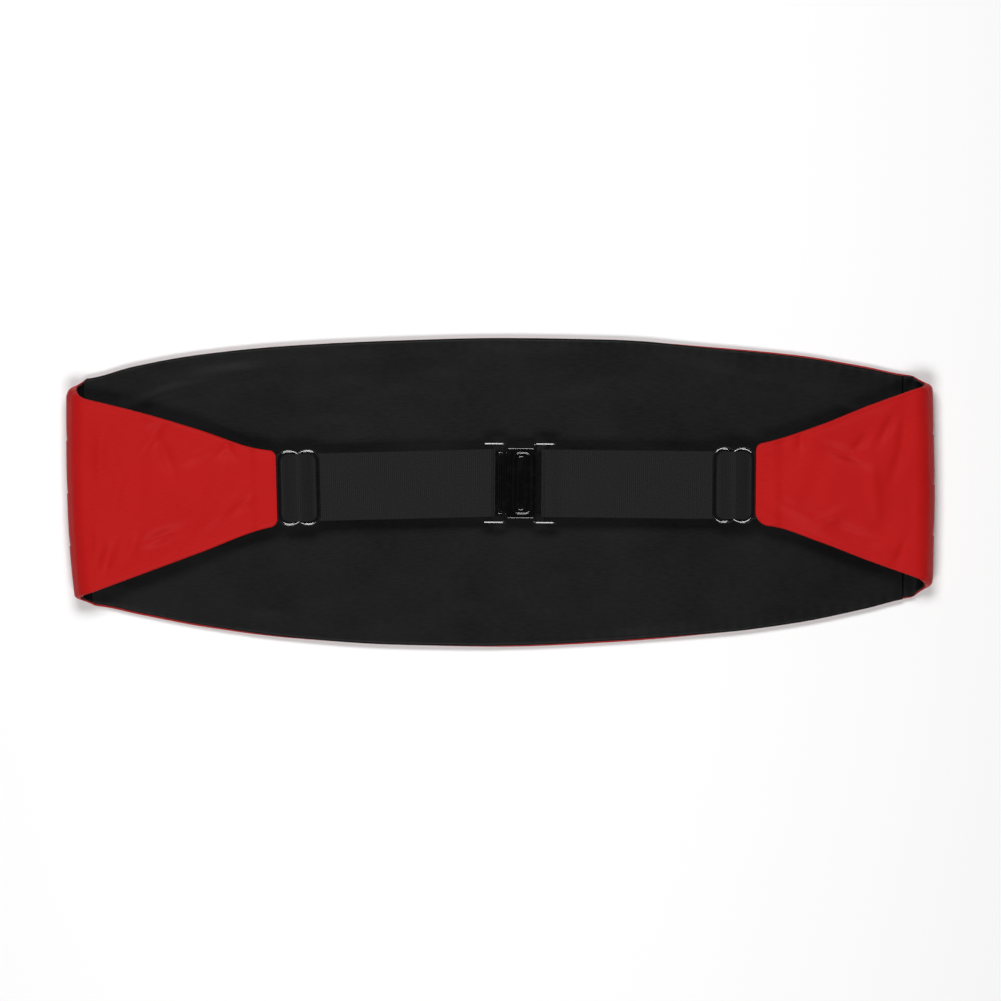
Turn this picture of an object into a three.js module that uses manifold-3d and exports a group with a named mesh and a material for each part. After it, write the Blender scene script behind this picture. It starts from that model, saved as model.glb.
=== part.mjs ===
// A pleated satin waist sash (cummerbund), lying face down with its two ends folded over and its belt fastened.
// Millimetres. +X runs along the sash, +Y goes to its upper edge and +Z goes up from the surface it lies on.
// The origin is on that surface, under the middle of the sash.

import * as THREE from "three";
import { mergeVertices } from "three/addons/utils/BufferGeometryUtils.js";
import Module from "manifold-3d";

const wasm = await Module();
wasm.setup();

// Sash
const sashLength = 365; // from fold to fold
const sashHeight = 130; // at the middle
const satinThickness = 1.0; // satin with its interlining
const liningThickness = 1.0;
const liningInset = 0.5; // the lining stays this far inside the satin's edges
const clothGap = 0.4; // air between two layers of cloth
const foldRadius = 6; // of the end folds, to the middle of the cloth
const wingDrop = 2.1; // how far a wing comes down between its fold and its end
const wingCrown = 0.8; // how far a wing is puffed up along its middle
const foldShare = 0.71; // of the sash's height, that the folds take
const seamAngle = 118; // degrees round the fold at which the pleated front meets a wing

// Pleats, which open towards the upper edge
const pleatCount = 4;
const pleatDepth = 0.9; // step down from a pleat's folded edge to the next pleat
const pleatRamp = 0.35; // share of a pleat's width that rises from under its neighbour

// Belt
const elasticWidth = 28.4;
const elasticThickness = 1.0;
const tailLength = 8; // elastic sewn into a wing's end
const pocketMargin = 2.1; // cloth beyond each edge of the elastic at a wing's end
const pocketTaper = 5; // length over which a wing's layers part for the elastic
const wingCorner = 3; // corner radius of a wing's end
const metalGap = 0.3; // air between metal and whatever it touches
const stitchedWrap = 0.8; // straight end of the elastic past its slide's middle bar
const bendLength = 7; // length over which the elastic parts to go round a clasp bar

// Slides, bent from round wire
const wireRadius = 0.75;
const slidePitch = 8.2; // middle bar to outer bar
const slideSideRoom = 0.4; // from the elastic's edge to the wire
const slideNotch = 1.4; // how far the middle bar's ends stand back from the lobes
const slideCorner = 3.2; // bend at the outer corners
const levelRun = 1.3; // of the elastic beside an outer bar, before it rises

// Clasp, pressed from sheet metal
const claspX = 8.4;
const claspY = 3.9;
const claspTurn = -0.4; // degrees
const railSpan = 31.9; // between the two side rails
const railLength = 9.4;
const railThickness = 1.05;
const railDepth = 2.4;
const beltBarRadius = 0.9; // bars that the elastic goes round
const eyeBarInset = 2.7; // from the eye's rail ends to its belt bar
const hookBarInset = 4.5; // from the hook's rail ends to its belt bar
const sheetThickness = 1.2;
const catchBarWidth = 1.7;
const plateWidth = 12.2;
const plateHeight = 29.4;
const plateCorner = 1.2;
const rimWidth = 2.3; // raised edge of the hook's plate
const reliefHeight = 0.4; // of the rim and the rib
const ribWidth = 3;
const ribEndRoom = 1.4; // from the rib's ends to the rim
const lipWidth = 1.4; // the hook's turned-up lip
const hookHeight = 26; // of the hook's leg and lip, along the catch bar
const webWidth = 1.4; // bar that joins the plate to its rails

const satin = new THREE.MeshStandardMaterial({ color: 0xb21a1c, roughness: 0.5, metalness: 0 });
const lining = new THREE.MeshStandardMaterial({ color: 0x1c1b1d, roughness: 0.6, metalness: 0 });
const elastic = new THREE.MeshStandardMaterial({ color: 0x232224, roughness: 0.9, metalness: 0 });
const blackMetal = new THREE.MeshStandardMaterial({ color: 0x0c0c0d, roughness: 0.2, metalness: 0.5 });

// Along the sash, the loop coordinate "at" runs from -3 at the left wing's end, through -2 and -1 at the ends of the
// left fold, 0 at the middle of the front, 1 and 2 at the ends of the right fold, to 3 at the right wing's end.
// upper and lower are shares of half the sash's height.
const left = {
  sign: -1,
  wingLength: 88.6, // from the fold's outside to the wing's end
  beltY: 1.75, // middle of the wing's end
  liningSeam: 1.09,
  edges: [
    { at: 0, upper: 1, lower: 1 },
    { at: 0.26, upper: 0.982, lower: 0.983 },
    { at: 0.52, upper: 0.943, lower: 0.937 },
    { at: 0.73, upper: 0.887, lower: 0.86 },
    { at: 0.885, upper: 0.809, lower: 0.781 },
    { at: 1, upper: 0.73, lower: 0.714 },
    { at: 1.5, upper: 0.686, lower: 0.685 },
    { at: 2, upper: 0.623, lower: 0.655 },
  ],
  // How far the fold line stands in from the end, as a share of the fold's radius, from the lower to the upper edge
  lean: [
    { at: 0, inset: 0.62 },
    { at: 0.25, inset: 0.24 },
    { at: 0.5, inset: 0.06 },
    { at: 0.75, inset: 0 },
    { at: 1, inset: 0 },
  ],
};
const right = {
  sign: 1,
  wingLength: 74.3,
  beltY: 2.9,
  liningSeam: 0.965,
  edges: [
    { at: 0, upper: 1, lower: 1 },
    { at: 0.26, upper: 0.987, lower: 0.969 },
    { at: 0.52, upper: 0.939, lower: 0.908 },
    { at: 0.73, upper: 0.881, lower: 0.828 },
    { at: 0.885, upper: 0.811, lower: 0.745 },
    { at: 1, upper: 0.751, lower: 0.653 },
    { at: 1.5, upper: 0.708, lower: 0.608 },
    { at: 2, upper: 0.685, lower: 0.566 },
  ],
  lean: [
    { at: 0, inset: 0.15 },
    { at: 0.25, inset: 0.08 },
    { at: 0.5, inset: 0 },
    { at: 0.75, inset: 0.06 },
    { at: 1, inset: 0.15 },
  ],
};
// A wing's edges between its fold, 1, and its end, 0
const wingEdges = [
  { at: 0, upper: 1, lower: 1 },
  { at: 0.3, upper: 0.69, lower: 0.66 },
  { at: 0.6, upper: 0.37, lower: 0.345 },
  { at: 0.9, upper: 0.06, lower: 0.035 },
  { at: 1, upper: 0, lower: 0 },
];

const degrees = THREE.MathUtils.degToRad;
const clothDepth = clothGap / 2 + satinThickness + pleatDepth; // from the floor to the middle of the front's cloth
const pocketGap = elasticThickness + 2 * clothGap;
const slideLevel = elasticThickness / 2 + metalGap + wireRadius; // above the elastic that runs under its outer bars
const claspLevel = -(elasticThickness + clothGap) / 2; // from the wing's end
const beltTurn = beltBarRadius + metalGap + elasticThickness / 2; // radius of the elastic round a clasp bar

// A smooth value between the rows of a table, with level tops and no overshoot
function fromTable(rows, column, at, startSlope) {
  const i = THREE.MathUtils.clamp(rows.findIndex((row) => row.at >= at) - 1, 0, rows.length - 2);
  const slope = (k) => (rows[k + 1][column] - rows[k][column]) / (rows[k + 1].at - rows[k].at);
  const tangent = (k) => {
    if (k === 0) return startSlope ?? slope(0);
    if (k === rows.length - 1) return slope(k - 1);
    const [a, b] = [slope(k - 1), slope(k)];
    return a * b <= 0 ? 0 : (2 * a * b) / (a + b);
  };
  const width = rows[i + 1].at - rows[i].at;
  const t = THREE.MathUtils.clamp((at - rows[i].at) / width, 0, 1);
  const [from, to] = [rows[i][column], rows[i + 1][column]];
  const hold = (1 + 2 * t) * (1 - t) ** 2 * from + t ** 2 * (3 - 2 * t) * to;
  return hold + width * (t * (1 - t) ** 2 * tangent(i) + t ** 2 * (t - 1) * tangent(i + 1));
}

// The clasp's place, and the turn of each half of the belt towards its clasp bar
const claspPlace = new THREE.Vector2(claspX, claspY);
const eyeBarX = -(plateWidth + 2 * railLength) / 2 + eyeBarInset;
const hookBarX = (plateWidth + 2 * railLength) / 2 - hookBarInset;
for (const [side, barX] of [[left, eyeBarX], [right, hookBarX]]) {
  const bar = new THREE.Vector2(barX, 0).rotateAround(new THREE.Vector2(), degrees(claspTurn)).add(claspPlace);
  side.endX = sashLength / 2 - side.wingLength;
  side.beltStart = new THREE.Vector2(side.sign * side.endX, side.beltY);
  side.beltLength = bar.distanceTo(side.beltStart);
  side.beltAngle = bar.clone().sub(side.beltStart).angle();
  side.slope = Math.atan(wingDrop / (side.wingLength - foldRadius));
}

// Where the end of a wing stands at a height y: it is square to the belt
function wingEndX(side, y) {
  return side.endX + (y - side.beltY) * Math.tan(side.beltAngle) * -side.sign;
}

// The cloth's lower and upper edges at a place along the loop
function edgesAt(side, at) {
  const half = sashHeight / 2;
  const share = Math.min(at, 2);
  const upper = fromTable(side.edges, "upper", share, 0) * half;
  const lower = -fromTable(side.edges, "lower", share, 0) * half;
  if (at <= 2) return { lower, upper };
  const endHalf = elasticWidth / 2 + pocketMargin;
  const toEnd = (1 - (at - 2)) * side.wingLength;
  const round = Math.max(0, wingCorner - toEnd);
  const cut = wingCorner - Math.sqrt(wingCorner ** 2 - Math.min(round, wingCorner) ** 2);
  const [endLower, endUpper] = [side.beltY - endHalf, side.beltY + endHalf];
  return {
    lower: endLower + (lower - endLower) * fromTable(wingEdges, "lower", at - 2) + cut,
    upper: endUpper + (upper - endUpper) * fromTable(wingEdges, "upper", at - 2) - cut,
  };
}

// A point of the loop: across goes from the lower to the upper edge, offset goes outwards from the middle of the cloth
function onLoop(signedAt, across, offset, inset) {
  const side = signedAt < 0 ? left : right;
  const at = Math.abs(signedAt);
  const { lower, upper } = edgesAt(side, at);
  const y = THREE.MathUtils.lerp(lower + inset, upper - inset, across);
  const share = THREE.MathUtils.clamp(y / (foldShare * sashHeight) + 0.5, 0, 1);
  const lean = fromTable(side.lean, "inset", share) * foldRadius;
  const foldStart = sashLength / 2 - foldRadius - clothDepth - lean;
  const middle = clothDepth + foldRadius; // height of the fold's axis
  if (at <= 1) return new THREE.Vector3(side.sign * foldStart * at, y, clothDepth - offset);
  const turn = (Math.PI + side.slope) * (Math.min(at, 2) - 1);
  const puff = at > 2 ? wingCrown * Math.sin(Math.PI * across) * Math.sin(Math.PI * (at - 2)) ** 2 : 0;
  const reach = foldRadius + offset + puff;
  const x = foldStart + reach * Math.sin(turn);
  const z = middle - reach * Math.cos(turn);
  if (at <= 2) return new THREE.Vector3(side.sign * x, y, z);
  const run = (foldStart - foldRadius * Math.sin(side.slope) - wingEndX(side, y)) * (at - 2);
  return new THREE.Vector3(side.sign * (x - run), y, z - run * Math.tan(side.slope));
}

// Half the gap between satin and lining, which opens near a wing's end to take the elastic
function halfGap(signedAt) {
  const side = signedAt < 0 ? left : right;
  const toEnd = (3 - Math.abs(signedAt)) * side.wingLength;
  const open = THREE.MathUtils.smoothstep(toEnd, tailLength + clothGap, tailLength + pocketTaper);
  return THREE.MathUtils.lerp(pocketGap, clothGap, open) / 2;
}

// A closed panel of cloth over a grid of places along and across the loop
function clothPanel(alongs, acrosses, place) {
  const [columns, rows] = [alongs.length - 1, acrosses.length - 1];
  const geometry = new THREE.BoxGeometry(1, 1, 1, columns, rows, 1);
  const position = geometry.getAttribute("position");
  for (let i = 0; i < position.count; i++) {
    const column = Math.round((position.getX(i) + 0.5) * columns);
    const row = Math.round((position.getY(i) + 0.5) * rows);
    const point = place(alongs[column], acrosses[row], position.getZ(i) > 0, row / rows);
    position.setXYZ(i, point.x, point.y, point.z);
  }
  geometry.computeVertexNormals();
  return geometry;
}

// Places from one end of a stretch to the other, both included
function spaced(from, to, count) {
  return Array.from({ length: count + 1 }, (_, i) => THREE.MathUtils.lerp(from, to, i / count));
}

// Loop coordinates of a piece, closer together round the folds and at the wings' ends
function placesAlong(from, to) {
  const reach = [
    ...spaced(0, 1, 12),
    ...spaced(1, 2, 14),
    ...spaced(2, 2.8, 8),
    ...spaced(2.8, 2.96, 6),
    ...spaced(2.97, 3, 5),
  ];
  const all = [...reach.map((at) => -at), ...reach].filter((at) => at > from + 0.02 && at < to - 0.02);
  return [...new Set([from, ...all, to])].sort((a, b) => a - b);
}

// Across the front: each pleat rises from under its neighbour, lies flat and ends in a folded edge
function pleatProfile() {
  const width = 1 / pleatCount;
  const stops = [];
  for (let i = 0; i < pleatCount; i++) {
    stops.push({ share: i * width, depth: i === 0 ? pleatDepth : 0 });
    stops.push({ share: (i + pleatRamp) * width, depth: pleatDepth });
    stops.push({ share: (i + 1) * width, depth: pleatDepth });
  }
  return stops;
}

const seamAt = (side) => 1 + degrees(seamAngle) / (Math.PI + side.slope);
const pastSeam = (side) => clothGap / ((Math.PI + side.slope) * foldRadius); // the gap at a seam, in loop coordinates

function pleatedFront() {
  return clothPanel(placesAlong(-seamAt(left), seamAt(right)), pleatProfile(), (at, pleat, isInner, even) => {
    if (isInner) return onLoop(at, even, clothGap / 2, 0);
    return onLoop(at, pleat.share, clothGap / 2 + satinThickness + pleat.depth, 0);
  });
}

function satinWing(from, to) {
  return clothPanel(placesAlong(from, to), spaced(0, 1, 6), (at, across, isInner) => {
    return onLoop(at, across, halfGap(at) + (isInner ? 0 : satinThickness), 0);
  });
}

function liningPanel(from, to) {
  return clothPanel(placesAlong(from, to), spaced(0, 1, 6), (at, across, isInner) => {
    return onLoop(at, across, -halfGap(at) - (isInner ? liningThickness : 0), liningInset);
  });
}

// A band of even thickness that follows points in the XZ plane, each with the band's width there, and that slants
// by the given amount past a place, to lie square on a bar that is turned
function ribbon(points, slant, slantFrom, slantTo) {
  const normals = points.map((_, i) => {
    const step = points[Math.min(i + 1, points.length - 1)].clone().sub(points[Math.max(i - 1, 0)]).normalize();
    return new THREE.Vector2(-step.y, step.x).multiplyScalar(elasticThickness / 2);
  });
  return clothPanel([...points.keys()], [-0.5, 0.5], (i, across, isAbove) => {
    const edge = points[i].clone().addScaledVector(normals[i], isAbove ? 1 : -1);
    const y = across * (points[i].bandWidth ?? elasticWidth);
    return new THREE.Vector3(edge.x - y * slant * THREE.MathUtils.smoothstep(edge.x, slantFrom, slantTo), y, edge.y);
  });
}

// The same points with the band narrowed evenly from one width to another
function narrowed(points, fromWidth, toWidth) {
  points.forEach((point, i) => (point.bandWidth = THREE.MathUtils.lerp(fromWidth, toWidth, i / (points.length - 1))));
  return points;
}

// Points of a half turn round a bar, from above it to below it
function halfTurn(x, z, radius, towards) {
  return spaced(Math.PI / 2, -Math.PI / 2, 10).map(
    (angle) => new THREE.Vector2(x + towards * radius * Math.cos(angle), z + radius * Math.sin(angle)),
  );
}

// A level change of the elastic between two places
function sway(fromX, fromZ, toX, toZ) {
  return spaced(0, 1, 8).map((t) => {
    const eased = (1 - Math.cos(Math.PI * t)) / 2;
    return new THREE.Vector2(THREE.MathUtils.lerp(fromX, toX, t), THREE.MathUtils.lerp(fromZ, toZ, eased));
  });
}

const outerBarX = metalGap + wireRadius; // the slide's outer bar beside the wing
const middleBarX = outerBarX + slidePitch;
const innerBarX = middleBarX + slidePitch;

// One half of the belt: out of the wing, under, over and under the slide's bars, round the clasp bar and back below
// itself to the slide's middle bar, where its end is sewn round the bar, narrowed to fit between the slide's notches
function beltHalf(side) {
  const wrap = wireRadius + metalGap + elasticThickness / 2; // radius of the sewn end round the middle bar
  const over = slideLevel + wrap + elasticThickness + 2 * clothGap; // the elastic over that end
  const backLevel = -elasticThickness - clothGap;
  const loopWidth = elasticWidth - 2 * (slideNotch + metalGap - slideSideRoom);
  const barX = side.beltLength;
  const wrapped = [
    ...halfTurn(middleBarX, slideLevel, wrap, -1).reverse(),
    new THREE.Vector2(middleBarX + stitchedWrap, slideLevel + wrap),
  ];
  const path = [
    new THREE.Vector2(-tailLength, tailLength * Math.tan(side.slope)),
    new THREE.Vector2(outerBarX, 0),
    ...sway(outerBarX + levelRun, 0, middleBarX, over),
    ...sway(middleBarX, over, innerBarX - levelRun, 0).slice(1),
    new THREE.Vector2(innerBarX, 0),
    ...sway(barX - bendLength, 0, barX, claspLevel + beltTurn).slice(0, -1),
    ...halfTurn(barX, claspLevel, beltTurn, 1),
    ...sway(barX, claspLevel - beltTurn, barX - bendLength, backLevel).slice(1),
    ...narrowed(sway(innerBarX, backLevel, middleBarX, slideLevel - wrap).slice(0, -1), elasticWidth, loopWidth),
    ...narrowed(wrapped, loopWidth, loopWidth),
  ];
  return ribbon(path, Math.tan(degrees(claspTurn) - side.beltAngle), barX - 2 * bendLength, barX - bendLength / 2);
}

// A mesh whose shared vertices are merged, as a solid that can be joined
function solidOf(geometry) {
  const plain = geometry.clone();
  plain.deleteAttribute("normal");
  plain.deleteAttribute("uv");
  const merged = mergeVertices(plain, 1e-4);
  const vertProperties = new Float32Array(merged.getAttribute("position").array);
  return new wasm.Manifold(new wasm.Mesh({ numProp: 3, vertProperties, triVerts: new Uint32Array(merged.index.array) }));
}

// Several closed shapes joined into one
function joined(shapes) {
  const mesh = shapes.map(solidOf).reduce((all, shape) => all.add(shape)).getMesh();
  const geometry = new THREE.BufferGeometry();
  geometry.setAttribute("position", new THREE.BufferAttribute(mesh.vertProperties, 3));
  geometry.setIndex(new THREE.BufferAttribute(mesh.triVerts, 1));
  return geometry;
}

// One lobe of a slide: from the middle bar's end, over the corner, down the outer bar and back
function slideLobe(direction) {
  const half = elasticWidth / 2 + slideSideRoom + wireRadius;
  const corner = direction * slidePitch;
  const shoulder = corner - direction * slideCorner;
  const at = (x, y) => new THREE.Vector3(x, y, 0);
  const path = new THREE.CurvePath();
  path.add(new THREE.QuadraticBezierCurve3(at(0, half - slideNotch), at(shoulder / 2, half), at(shoulder, half)));
  path.add(new THREE.QuadraticBezierCurve3(at(shoulder, half), at(corner, half), at(corner, half - slideCorner)));
  path.add(new THREE.LineCurve3(at(corner, half - slideCorner), at(corner, slideCorner - half)));
  path.add(new THREE.QuadraticBezierCurve3(at(corner, slideCorner - half), at(corner, -half), at(shoulder, -half)));
  path.add(new THREE.QuadraticBezierCurve3(at(shoulder, -half), at(shoulder / 2, -half), at(0, slideNotch - half)));
  const section = new THREE.Shape().absarc(0, 0, wireRadius, 0, 2 * Math.PI);
  return new THREE.ExtrudeGeometry(section, { steps: 30, curveSegments: 4, extrudePath: path });
}

function slide() {
  const barLength = elasticWidth + 2 * (slideSideRoom + wireRadius - slideNotch) + wireRadius;
  const middleBar = new THREE.CylinderGeometry(wireRadius, wireRadius, barLength, 10);
  return joined([slideLobe(-1), slideLobe(1), middleBar]);
}

// A box given by its lowest and highest corners
function block(low, high) {
  const size = high.map((value, i) => value - low[i]);
  const geometry = new THREE.BoxGeometry(...size);
  return geometry.translate(...low.map((value, i) => value + size[i] / 2));
}

const railOut = railSpan / 2 + railThickness; // outside of a rail, from the clasp's middle
const railStart = plateWidth / 2; // inner ends of the rails

// The two side rails of one half of the clasp and the round bar between them that the elastic goes round
function railsAndBar(direction, barX) {
  const [near, far] = [direction * railStart, direction * (railStart + railLength)].sort((a, b) => a - b);
  const bar = new THREE.CylinderGeometry(beltBarRadius, beltBarRadius, railSpan + railThickness, 12);
  return [
    block([near, railSpan / 2, -railDepth / 2], [far, railOut, railDepth / 2]),
    block([near, -railOut, -railDepth / 2], [far, -railSpan / 2, railDepth / 2]),
    bar.translate(barX, 0, 0),
  ];
}

function claspEye() {
  const catchBar = block(
    [-railStart - catchBarWidth, -railOut + railThickness / 2, -sheetThickness / 2],
    [-railStart, railOut - railThickness / 2, sheetThickness / 2],
  );
  return joined([...railsAndBar(-1, eyeBarX), catchBar]);
}

// A flat plate with rounded corners, or a frame if it has a hole, standing on a level
function roundedPlate(width, height, corner, level, thickness, hole) {
  const outline = (w, h, r, Kind) => {
    const path = new Kind();
    path.absarc(w / 2 - r, h / 2 - r, r, 0, Math.PI / 2);
    path.absarc(r - w / 2, h / 2 - r, r, Math.PI / 2, Math.PI);
    path.absarc(r - w / 2, r - h / 2, r, Math.PI, 1.5 * Math.PI);
    path.absarc(w / 2 - r, r - h / 2, r, 1.5 * Math.PI, 2 * Math.PI);
    return path.closePath();
  };
  const shape = outline(width, height, corner, THREE.Shape);
  if (hole) shape.holes.push(outline(width - 2 * hole, height - 2 * hole, corner, THREE.Path));
  const geometry = new THREE.ExtrudeGeometry(shape, { depth: thickness, bevelEnabled: false, curveSegments: 4 });
  return geometry.translate(0, 0, level);
}

// The hook's plate runs beside the catch bar, turns under it and comes up behind it as a lip
function claspHook() {
  const base = sheetThickness - reliefHeight;
  const low = -sheetThickness / 2;
  const plateLeft = -railStart + metalGap; // the plate clears the catch bar
  const plateX = (plateLeft + railStart) / 2;
  const width = railStart - plateLeft;
  const legLow = low - metalGap - base;
  const lipRight = -railStart - catchBarWidth - metalGap;
  const half = hookHeight / 2;
  const reliefLow = low + base - 0.1;
  const rib = ribWidth / 2;
  return joined([
    roundedPlate(width, plateHeight, plateCorner, low, base).translate(plateX, 0, 0),
    roundedPlate(width, plateHeight, plateCorner, reliefLow, reliefHeight + 0.1, rimWidth).translate(plateX, 0, 0),
    block(
      [plateX - rib, rimWidth + ribEndRoom - plateHeight / 2, reliefLow],
      [plateX + rib, plateHeight / 2 - rimWidth - ribEndRoom, reliefLow + reliefHeight + 0.1],
    ),
    block([plateLeft, -half, legLow], [plateLeft + base, half, low + base]),
    block([lipRight - lipWidth, -half, legLow], [plateLeft + base, half, legLow + base]),
    block([lipRight - lipWidth, -half, legLow], [lipRight, half, -low]),
    block(
      [railStart - webWidth / 2, -railOut + railThickness / 2, low],
      [railStart + webWidth / 2, railOut - railThickness / 2, -low],
    ),
    ...railsAndBar(1, hookBarX),
  ]);
}

function piece(name, geometry, material) {
  const mesh = new THREE.Mesh(geometry, material);
  mesh.name = name;
  return mesh;
}

const sash = new THREE.Group();
const [leftSeam, rightSeam] = [seamAt(left), seamAt(right)];
const liningGapLeft = clothGap / foldRadius / Math.PI;
const liningGapRight = clothGap / (sashLength / 2);
sash.add(
  piece("pleated_front", pleatedFront(), satin),
  piece("front_lining", liningPanel(-left.liningSeam, right.liningSeam), lining),
  piece("left_wing", satinWing(-3, -leftSeam - pastSeam(left)), satin),
  piece("right_wing", satinWing(rightSeam + pastSeam(right), 3), satin),
  piece("left_wing_lining", liningPanel(-3, -left.liningSeam - liningGapLeft), lining),
  piece("right_wing_lining", liningPanel(right.liningSeam + liningGapRight, 3), lining),
);

for (const [name, side] of [["left", left], ["right", right]]) {
  const level = onLoop(side.sign * 3, 0.5, 0, 0).z;
  const half = new THREE.Group();
  half.position.set(side.beltStart.x, side.beltStart.y, level);
  half.rotation.z = side.beltAngle;
  const wire = piece(name + "_slide", slide(), blackMetal);
  wire.position.set(middleBarX, 0, slideLevel);
  half.add(piece(name + "_elastic", beltHalf(side), elastic), wire);
  sash.add(half);
}

const clasp = new THREE.Group();
clasp.position.set(claspX, claspY, onLoop(3, 0.5, 0, 0).z + claspLevel);
clasp.rotation.z = degrees(claspTurn);
clasp.add(piece("clasp_eye", claspEye(), blackMetal), piece("clasp_hook", claspHook(), blackMetal));
sash.add(clasp);

export default sash;
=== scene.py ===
import math

import bpy
from mathutils import Matrix, Vector, noise


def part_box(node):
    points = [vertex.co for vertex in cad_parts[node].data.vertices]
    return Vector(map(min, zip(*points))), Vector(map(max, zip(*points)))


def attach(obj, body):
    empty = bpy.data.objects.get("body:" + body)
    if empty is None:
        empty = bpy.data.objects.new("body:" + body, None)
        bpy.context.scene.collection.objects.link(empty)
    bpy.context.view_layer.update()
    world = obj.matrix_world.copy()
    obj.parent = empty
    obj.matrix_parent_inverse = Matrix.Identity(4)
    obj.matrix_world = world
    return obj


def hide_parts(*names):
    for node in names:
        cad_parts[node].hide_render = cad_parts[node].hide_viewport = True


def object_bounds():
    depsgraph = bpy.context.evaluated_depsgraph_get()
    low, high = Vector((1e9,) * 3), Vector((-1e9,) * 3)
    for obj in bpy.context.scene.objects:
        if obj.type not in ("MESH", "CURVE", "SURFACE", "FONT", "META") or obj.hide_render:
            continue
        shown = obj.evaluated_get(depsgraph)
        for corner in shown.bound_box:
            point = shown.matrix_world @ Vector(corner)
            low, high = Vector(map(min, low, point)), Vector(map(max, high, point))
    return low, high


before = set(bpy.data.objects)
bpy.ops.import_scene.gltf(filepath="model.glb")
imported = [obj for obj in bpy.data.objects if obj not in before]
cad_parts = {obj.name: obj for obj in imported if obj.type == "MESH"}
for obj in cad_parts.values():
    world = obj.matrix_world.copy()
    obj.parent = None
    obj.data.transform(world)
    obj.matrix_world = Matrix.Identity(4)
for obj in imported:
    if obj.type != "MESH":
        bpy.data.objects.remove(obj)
cadLow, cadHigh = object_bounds()
bpy.ops.object.select_all(action="DESELECT")

mm = 0.001  # the values below are in millimetres, Blender works in metres
frontLow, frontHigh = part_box("pleated_front")

sash = {
    "length": (frontHigh.x - frontLow.x) / mm,
    "height": (frontHigh.y - frontLow.y) / mm,
    "satinThick": 1.0,
    "liningThick": 1.0,
    "clothGap": 0.4,
    "foldRadius": 6.0,
    "foldShare": 0.71,  # of the height, that the end folds take
    "seamAngle": 118,  # degrees round the fold to the side seam
    "wingDrop": 2.1,
    "wingCrown": 0.8,
    "pleatStep": 0.9,
    "pleats": 4,
}
sash["clothDepth"] = sash["clothGap"] / 2 + sash["satinThick"] + sash["pleatStep"]

belt = {
    "width": 28.4,
    "thick": 1.0,
    "tail": 8.0,  # sewn into the wing
    "pocketTaper": 5.0,
    "metalGap": 0.3,
    "stitchedWrap": 0.8,  # beyond the slide's middle bar
    "levelRun": 1.3,  # from a slide's outer bars to where the band starts to rise
    "bendLength": 7.0,  # to the clasp's bar
}

slide = {
    "wire": 0.75,  # radius
    "pitch": 8.2,  # between its bars
    "sideRoom": 0.4,
    "notch": 1.4,  # how far its sides dip in at the middle bar
    "corner": 4.0,
}

clasp = {
    "place": Vector((8.4, 3.9)),
    "turn": math.radians(-0.4),
    "railSpan": 31.9,
    "railLength": 9.4,
    "railThick": 1.05,
    "railDepth": 2.4,
    "beltBar": 0.9,  # radius
    "eyeBarInset": 2.7,
    "hookBarInset": 4.5,
    "sheet": 1.2,
    "catchBar": 1.7,
    "plateWidth": 12.2,
    "plateHeight": 29.4,
    "plateCorner": 1.0,
    "rimLeft": 2.7,
    "rimRight": 1.7,
    "rimEnds": 2.0,
    "recessCorner": 2.6,
    "relief": 0.5,  # depth of the recess in the hook's plate
    "rib": 3.4,
    "ribShift": 0.3,
    "ribDrop": 0.05,
    "ribCorner": 1.5,
    "ribEndRoom": 1.3,
    "lip": 1.4,
    "hookHeight": 26.0,
    "web": 1.4,
    "railSoft": 0.5,  # widths of the rounded edges
    "sheetSoft": 0.3,
    "hookSoft": 0.25,
    "plateSoft": 0.26,
    "barSoft": 0.2,
}

# Along the loop, "at" is 0 at the middle of the front, 1 and 2 at the ends of a fold and 3 at a wing's end.
# The edges are shares of half the height.
edgeColumns = ("at", "upper", "lower")
leanColumns = ("at", "inset")
left = {
    "sign": -1,
    "wingLength": 88.6,
    "beltY": 1.75,
    "liningSeam": 1.09,
    "endMargins": (1.55, 1.4),  # of the wing beyond the elastic, at its lower and upper edge
    "endCorners": (2.8, 2.6),
    "wing": [(0, 1, 1), (0.3, 0.732, 0.699), (0.6, 0.409, 0.391), (0.9, 0.05, 0.068), (1, 0, 0)],
    "edges": [
        (0, 1, 1),
        (0.26, 0.983, 0.986),
        (0.52, 0.948, 0.943),
        (0.73, 0.891, 0.872),
        (0.885, 0.816, 0.795),
        (1, 0.739, 0.736),
        (1.5, 0.676, 0.686),
        (2, 0.604, 0.645),
    ],
    "lean": [(0, 0.62), (0.25, 0.24), (0.5, 0.06), (0.75, 0), (1, 0)],
    "corners": (1.8, 3.6),  # how round the fold is at its lower and upper end
}
right = {
    "sign": 1,
    "wingLength": 75.5,
    "beltY": 2.9,
    "liningSeam": 0.976,
    "endMargins": (2.3, 3.1),
    "endCorners": (5.8, 2.4),
    "wing": [(0, 1, 1), (0.3, 0.693, 0.674), (0.6, 0.35, 0.324), (0.9, 0.065, 0.027), (1, 0, 0)],
    "edges": [
        (0, 1, 1),
        (0.26, 0.99, 0.972),
        (0.52, 0.942, 0.913),
        (0.73, 0.888, 0.838),
        (0.885, 0.818, 0.752),
        (1, 0.761, 0.681),
        (1.5, 0.702, 0.604),
        (2, 0.666, 0.546),
    ],
    "lean": [(0, 0.15), (0.25, 0.08), (0.5, 0), (0.75, 0.06), (1, 0.15)],
    "corners": (2.6, 2.6),
}


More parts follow.
